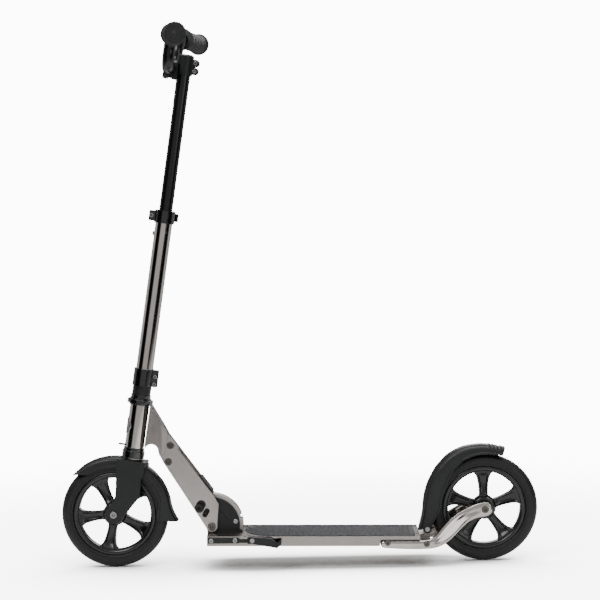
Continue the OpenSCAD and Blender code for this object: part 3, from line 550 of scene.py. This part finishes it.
for name, side in (("left", -1), ("right", 1)):
    points, faces = skin([armRing(i, side) for i in range(len(arm["line"]))], caps=True)
    piece = makePiece(name + "RearArmForged", points, faces, Matrix.Identity(4), "polishedForgedAluminium",
                      "frame", ["rear_arm_" + name], sharp=arm["sharpFrom"])
    rounder = piece.modifiers.new("evenCurves", "SUBSURF")
    rounder.levels = rounder.render_levels = 1
print("rear arms made")

# Grips: moulded rubber, ribbed, with a ringed end cap

grip = {"length": 126.0, "bore": 11.1, "flange": 20.7, "body": 16.4, "rib": 17.5,
        "steps": 72, "sharpFrom": 50,
        # the bar's straight end, and how far the grip reaches past it
        "inner": (-25.0, 66.0, 893.0), "outer": (-2.8, 209.0, 891.0), "past": 6.0,
        # below: change of radius, then distance along the grip or back from its end
        "innerFlange": [(-2.0, 0.0), (-0.6, 0.7), (0.0, 2.2), (-0.6, 3.7), (-2.4, 4.4)],
        "endFlange": [(-1.8, -6.0), (-0.4, -5.0), (0.0, -3.0), (-0.5, -1.2), (-1.8, -0.2)],
        "innerNeck": [(0.6, 5.0), (0.0, 6.4)], "endNeck": [(0.0, -9.0), (0.8, -6.8)],
        "ribCount": 9, "ribFirst": 9.0, "ribPitch": 12.0, "ribLong": 8.0,
        "ribShape": [(-0.3, 0.5), (0.0, 1.2), (0.0, 6.8), (-0.3, 7.5)],
        "endRings": (17.2, 14.6, 12.0, 9.4), "endRing": [(0.0, 0.0), (-0.3, -0.7), (-0.9, -0.7), (-1.2, 0.0)],
        "endButton": [(6.2, 0.0), (5.6, -1.0), (4.4, -1.0), (3.6, -0.2), (0.0, 0.0)], "plugDeep": 5.6}


def gripProfile():
    g = grip
    body, end = g["body"], g["length"]
    shape = [(g["bore"], 0.0)] + [(g["flange"] + dr, z) for dr, z in g["innerFlange"]]
    shape += [(body + dr, z) for dr, z in g["innerNeck"]]
    for i in range(g["ribCount"]):
        at = g["ribFirst"] + g["ribPitch"] * i
        shape += [(body, at)] + [(g["rib"] + dr, at + z) for dr, z in g["ribShape"]]
        shape += [(body, at + g["ribLong"])]
    shape += [(body + dr, end + z) for dr, z in g["endNeck"]]
    shape += [(g["flange"] + dr, end + z) for dr, z in g["endFlange"]]
    for ring in g["endRings"]:
        shape += [(ring + dr, end + z) for dr, z in g["endRing"]]
    shape += [(r, end + z) for r, z in g["endButton"]]
    return shape + [(0.0, end - g["plugDeep"]), (g["bore"], end - g["plugDeep"])]


def makeGrips():
    g = grip
    points, faces = [], []
    direction = (Vector(g["outer"]) - Vector(g["inner"])).normalized()
    for side in (1, -1):
        along = Vector((direction.x, side * direction.y, direction.z))
        tip = Vector((g["outer"][0], side * g["outer"][1], g["outer"][2])) + along * g["past"]
        turn = along.to_track_quat("Y", "Z").to_matrix().to_4x4()
        place = Matrix.Translation(tip - along * g["length"]) @ turn
        rings = [[tuple(place @ Vector(p)) for p in ring] for ring in turnedRings(gripProfile(), g["steps"])]
        more, closed = skin(rings, wrapAlong=True, start=len(points))
        points += more
        faces += closed
    makePiece("rubberGrips", points, faces, atSteering, "mouldedRubber", "handlebar_post", ["grips"],
              sharp=g["sharpFrom"])


makeGrips()
print("grips made")

# Deck mat: grit-coated rubber with a raised tread

mat = {"front": -102.0, "back": 213.0, "halfWidth": 61.0, "nose": 46.0, "noseSteps": 32,
       "corner": 5.0, "cornerSteps": 6, "sole": 0.02, "base": 0.95, "edgeDrop": 0.3, "edgeIn": 0.5,
       # tread bars: spacing, clear edge, half sizes, and height with share of size at each level
       "pitch": 10.5, "edge": 6.0, "barLong": 3.6, "barWide": 1.15, "barTaper": 1.2,
       "barLevels": [(0.90, 1.0), (1.3, 0.86), (1.4, 0.66)],
       "barOutline": [(-1, 0), (-0.7, -0.8), (0, -1), (0.7, -0.8), (1, 0), (0.7, 0.8), (0, 1), (-0.7, 0.8)]}


def matOutline(inset):
    m = mat
    outline = []
    for i in range(m["noseSteps"] + 1):
        t = math.radians(90 + 180 * i / m["noseSteps"])
        outline.append((m["front"] + m["nose"] + (m["nose"] - inset) * math.cos(t),
                        (m["halfWidth"] - inset) * math.sin(t)))
    for side, first in ((-1, -90), (1, 0)):
        for i in range(m["cornerSteps"] + 1):
            t = math.radians(first + 90 * i / m["cornerSteps"])
            outline.append((m["back"] - m["corner"] + (m["corner"] - inset) * math.cos(t),
                            side * (m["halfWidth"] - m["corner"]) + (m["corner"] - inset) * math.sin(t)))
    return outline


def onTread(x, y):
    # True where a tread bar stays clear of the mat's edge
    m = mat
    if abs(y) > m["halfWidth"] - m["edge"] or x > m["back"] - m["edge"]:
        return False
    ahead = m["front"] + m["nose"] - x
    reach = m["nose"] - m["edge"]
    return ahead <= 0 or (ahead / reach) ** 2 + (y / (m["halfWidth"] - m["edge"])) ** 2 < 1


def treadBar(x, y, turn):
    m = mat
    t = math.radians(turn)
    along, across = Vector((math.cos(t), math.sin(t))), Vector((-math.sin(t), math.cos(t)))
    rings = []
    for z, share in m["barLevels"]:
        half = along * (m["barLong"] - (1 - share) * m["barTaper"])
        side = across * m["barWide"] * share
        ring = [Vector((x, y)) + half * p + side * q for p, q in m["barOutline"]]
        rings.append([(p.x, p.y, z) for p in ring])
    return rings


def makeMat():
    m = mat
    rings = [[(x, y, z) for x, y in matOutline(inset)] for z, inset in (
        (m["sole"], 0.0), (m["base"] - m["edgeDrop"], 0.0), (m["base"], m["edgeIn"]))]
    points, faces = skin(rings, caps=True)
    halfPitch = 0.5 * m["pitch"]
    for row in range(int((m["back"] - m["front"]) / halfPitch)):
        x = m["front"] + row * halfPitch
        y = -m["halfWidth"] + halfPitch * (row % 2)
        while y < m["halfWidth"]:
            if onTread(x, y):
                more, closed = skin(treadBar(x, y, 45 if row % 2 else -45), caps=True, start=len(points))
                points += more
                faces += closed
            y += m["pitch"]
    makePiece("deckGripMat", points, faces, atDeck, "gritCoatedRubber", "frame", ["deck_mat"])


makeMat()
print("deck mat made")

# Camera and light

cameraView = {"place": (0.008, -4.5, 0.791), "pitch": -3.78, "roll": -1.042, "lens": 145.3, "sensor": 36.0}


def makeCamera():
    data = bpy.data.cameras.new("viewCamera")
    data.lens = cameraView["lens"]
    data.sensor_width = cameraView["sensor"]
    camera = bpy.data.objects.new("viewCamera", data)
    camera.matrix_world = (Matrix.Translation(cameraView["place"])
                           @ Matrix.Rotation(math.radians(90 + cameraView["pitch"]), 4, "X")
                           @ Matrix.Rotation(math.radians(cameraView["roll"]), 4, "Z"))
    bpy.context.scene.collection.objects.link(camera)
    bpy.context.scene.camera = camera


lamps = {
    "key": {"place": (-1.6, -2.2, 2.6), "aim": (0, 0, 0.4), "size": (1.6, 1.2), "power": 62},
    "fill": {"place": (2.2, -2.6, 1.2), "aim": (0, 0, 0.3), "size": (1.4, 1.8), "power": 20},
    "top": {"place": (0.1, 0.1, 3.0), "aim": (0, 0, 0), "size": (2.4, 1.6), "power": 60},
    "back": {"place": (0.6, 2.4, 1.6), "aim": (0, 0, 0.5), "size": (1.8, 1.2), "power": 34},
}


def makeLamp(name, spec):
    data = bpy.data.lights.new(name, "AREA")
    data.shape = "RECTANGLE"
    data.size, data.size_y = spec["size"]
    data.energy = spec["power"]
    lamp = bpy.data.objects.new(name, data)
    lamp.location = spec["place"]
    lamp.rotation_euler = (Vector(spec["aim"]) - Vector(spec["place"])).to_track_quat("-Z", "Y").to_euler()
    bpy.context.scene.collection.objects.link(lamp)


# The floor and the background are brighter to the camera than to the scooter, so the metal keeps its contrast
studio = {"wall": "#ffffff", "wallStrength": 12.0, "bright": "#ffffff", "dark": "#141517", "strength": 0.62,
          "bands": 3.0, "bandEdge": (-0.5, 0.4), "ceilingEdge": (0.35, 0.75),
          "floor": "#fafafa", "floorRough": 0.9, "floorGlow": 6.0,
          "shadeReach": 0.3, "shadeFrom": 0.45, "shadeSamples": 16,
          "floorRadius": 1.9, "floorSides": 96, "floorDrop": 0.0004, "fadeStart": 0.35, "fadeEnd": 0.9}


def makeWorld():
    # Soft studio surround: reflections see bright sides and darker gaps between them, the background is plain
    world = bpy.data.worlds.new("studio")
    world.use_nodes = True
    tree = world.node_tree
    tree.nodes.clear()
    direction = addNode(tree, "ShaderNodeTexCoord").outputs["Generated"]
    parts = addNode(tree, "ShaderNodeSeparateXYZ", {"Vector": direction})
    azimuth = addNode(tree, "ShaderNodeMath", {0: parts.outputs["Y"], 1: parts.outputs["X"]},
                      operation="ARCTAN2").outputs[0]
    turns = addNode(tree, "ShaderNodeMath", {0: azimuth, 1: studio["bands"]}, operation="MULTIPLY").outputs[0]
    wave = addNode(tree, "ShaderNodeMath", {0: turns}, operation="SINE").outputs[0]
    band = addNode(tree, "ShaderNodeMapRange", {
        "Value": wave, "From Min": studio["bandEdge"][0],
        "From Max": studio["bandEdge"][1]}, interpolation_type="SMOOTHSTEP").outputs["Result"]
    ceiling = addNode(tree, "ShaderNodeMapRange", {
        "Value": parts.outputs["Z"], "From Min": studio["ceilingEdge"][0],
        "From Max": studio["ceilingEdge"][1]}, interpolation_type="SMOOTHSTEP").outputs["Result"]
    bright = addNode(tree, "ShaderNodeMath", {0: band, 1: ceiling}, operation="MAXIMUM").outputs[0]
    color = addNode(tree, "ShaderNodeMix", {
        0: bright, 6: hexColor(studio["dark"]), 7: hexColor(studio["bright"])}, data_type="RGBA").outputs[2]
    around = addNode(tree, "ShaderNodeBackground", {"Color": color, "Strength": studio["strength"]})
    plain = addNode(tree, "ShaderNodeBackground", {"Color": hexColor(studio["wall"]),
                                                   "Strength": studio["wallStrength"]})
    seen = addNode(tree, "ShaderNodeLightPath").outputs["Is Camera Ray"]
    mix = addNode(tree, "ShaderNodeMixShader", {0: seen, 1: around.outputs[0], 2: plain.outputs[0]})
    addNode(tree, "ShaderNodeOutputWorld", {"Surface": mix.outputs[0]})
    bpy.context.scene.world = world


def makeFloor():
    # Pale disc that fades into the plain background. It glows for the camera only, and ambient occlusion cuts
    # the glow under the scooter, which paints a soft shadow there.
    mesh = bpy.data.meshes.new("studioFloor")
    bm = bmesh.new()
    bmesh.ops.create_circle(bm, cap_ends=True, segments=studio["floorSides"], radius=studio["floorRadius"])
    bm.to_mesh(mesh)
    bm.free()
    floor = bpy.data.objects.new("studioFloor", mesh)
    floor.location.z = -studio["floorDrop"]
    bpy.context.scene.collection.objects.link(floor)
    material, tree, place = startMaterial("matPaper")
    far = addNode(tree, "ShaderNodeVectorMath", {0: place}, operation="LENGTH").outputs["Value"]
    fade = addNode(tree, "ShaderNodeMapRange", {
        "Value": far, "From Min": studio["fadeStart"] * studio["floorRadius"],
        "From Max": studio["fadeEnd"] * studio["floorRadius"]},
        interpolation_type="SMOOTHSTEP").outputs["Result"]
    paper = addNode(tree, "ShaderNodeBsdfPrincipled", {"Base Color": hexColor(studio["floor"]),
                                                       "Roughness": studio["floorRough"]})
    seen = addNode(tree, "ShaderNodeLightPath").outputs["Is Camera Ray"]
    # painted shadow: ambient occlusion lowers the floor's glow under and around the scooter
    openness = addNode(tree, "ShaderNodeAmbientOcclusion", {"Distance": studio["shadeReach"]},
                       samples=studio["shadeSamples"]).outputs["AO"]
    level = addNode(tree, "ShaderNodeMapRange", {
        "Value": openness, "From Min": studio["shadeFrom"], "From Max": 1.0,
        "To Max": studio["floorGlow"]}).outputs["Result"]
    strength = addNode(tree, "ShaderNodeMath", {0: seen, 1: level}, operation="MULTIPLY").outputs[0]
    glow = addNode(tree, "ShaderNodeEmission", {"Strength": strength})
    lit = addNode(tree, "ShaderNodeAddShader", {0: paper.outputs[0], 1: glow.outputs[0]})
    clear = addNode(tree, "ShaderNodeBsdfTransparent")
    mix = addNode(tree, "ShaderNodeMixShader", {0: fade, 1: lit.outputs[0], 2: clear.outputs[0]})
    addNode(tree, "ShaderNodeOutputMaterial", {"Surface": mix.outputs[0]})
    mesh.materials.append(material)


makeCamera()
makeWorld()
makeFloor()
for name, spec in lamps.items():
    makeLamp(name, spec)
print("camera, light and floor set")
